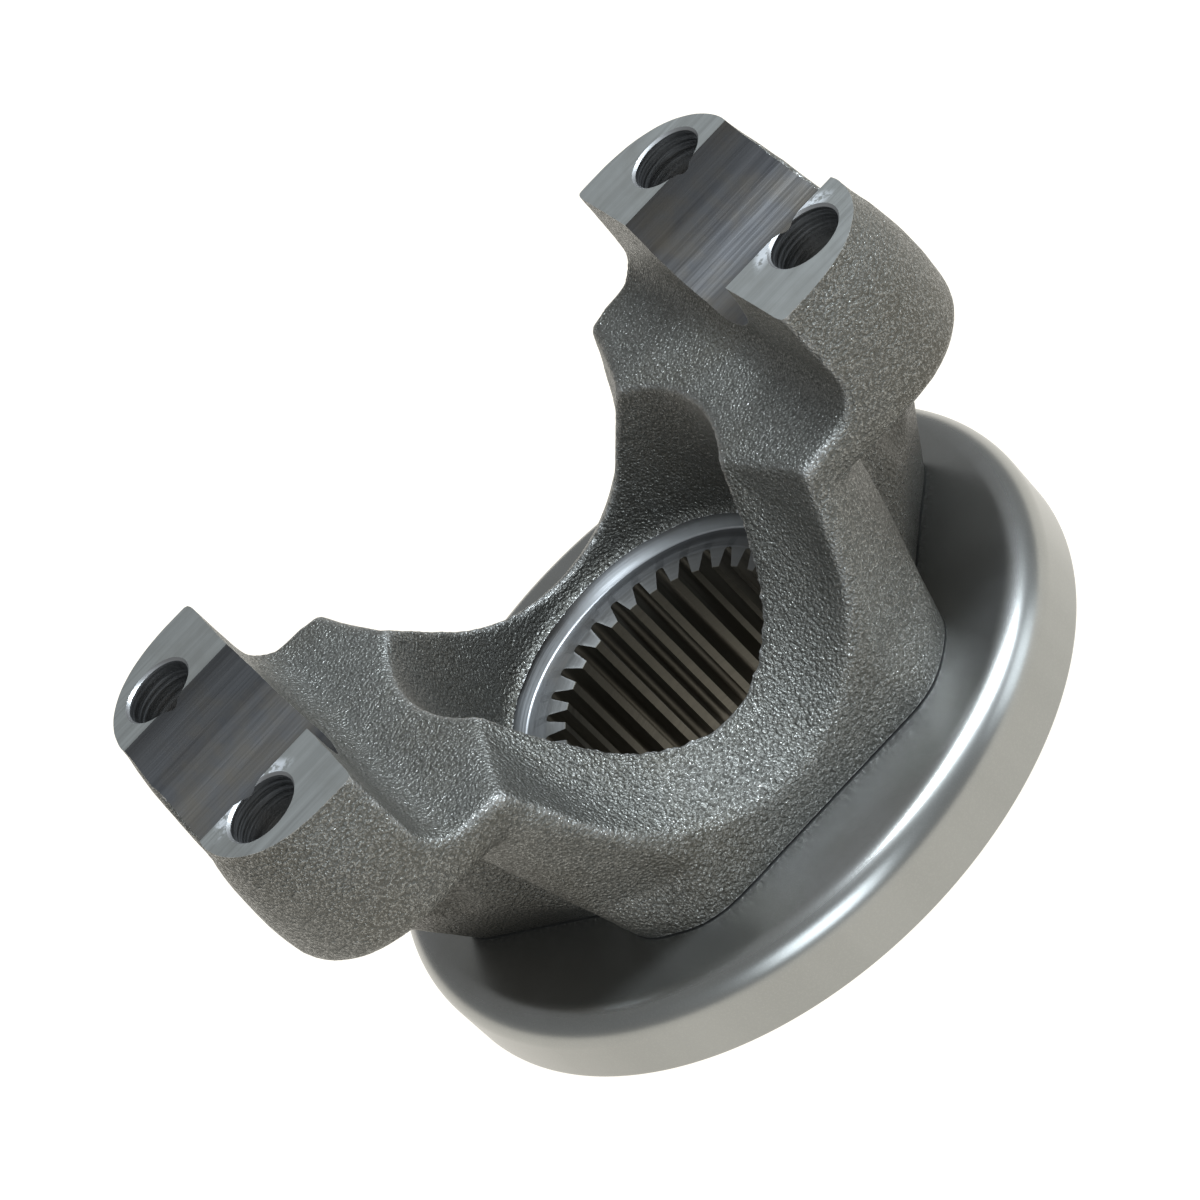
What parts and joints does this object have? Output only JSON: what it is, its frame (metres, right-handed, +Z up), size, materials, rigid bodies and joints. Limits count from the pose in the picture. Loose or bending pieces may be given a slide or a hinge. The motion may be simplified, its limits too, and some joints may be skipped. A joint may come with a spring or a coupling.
{
  "type": "pinion yoke",
  "caption": "Two-eared driveline end yoke with half-round bearing cap seats, U-bolt holes, a splined hub and a pressed-on dust shield.",
  "frame": {"origin": "centre of the hub's flat rear face, on which the yoke stands", "axes": "+Z up the pinion axis from the hub's rear face to the ear pads; +Y from ear to ear; +X across the two legs of a U-bolt"},
  "size_m": [0.1072, 0.1206, 0.084],
  "materials": {
    "cast_steel": "shot-blasted cast skin, machined on the pads, seats and bore",
    "sheet_steel": "bright pressed steel sheet with a satin wall"
  },
  "bodies": {
    "root": {"yoke": "cast_steel", "dust_shield": "sheet_steel"}
  },
  "joints": []
}
